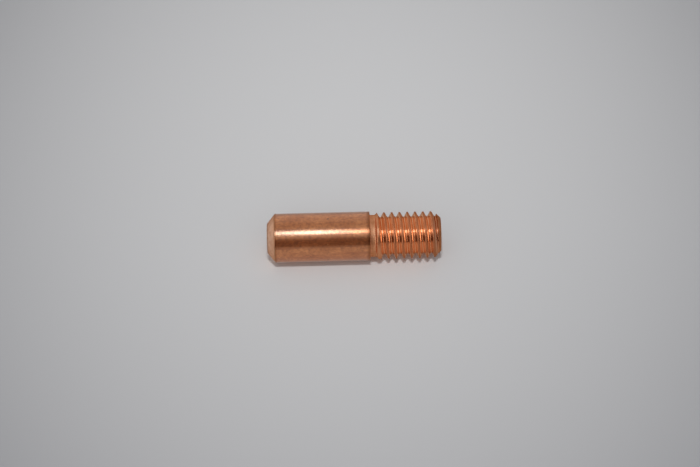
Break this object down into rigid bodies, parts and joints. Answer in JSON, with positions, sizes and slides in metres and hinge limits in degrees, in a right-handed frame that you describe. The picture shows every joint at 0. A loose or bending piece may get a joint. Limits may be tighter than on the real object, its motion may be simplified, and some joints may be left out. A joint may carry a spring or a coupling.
{
  "type": "welding contact tip",
  "caption": "Short round copper contact tip with a plain body, a coned nose, a threaded shank below a shoulder and a wire bore through its axis.",
  "frame": {"origin": "centre of the flat at the threaded end, on the surface that the part stands on", "axes": "+Z along the part's axis, from the threaded end to the nose"},
  "size_m": [0.0064, 0.0064, 0.0223],
  "materials": {
    "copper": "drawn copper bar with a satin surface, turned bright on the nose cone and rolled bright on the thread"
  },
  "bodies": {
    "root": {"contact_tip": "copper"}
  },
  "joints": []
}
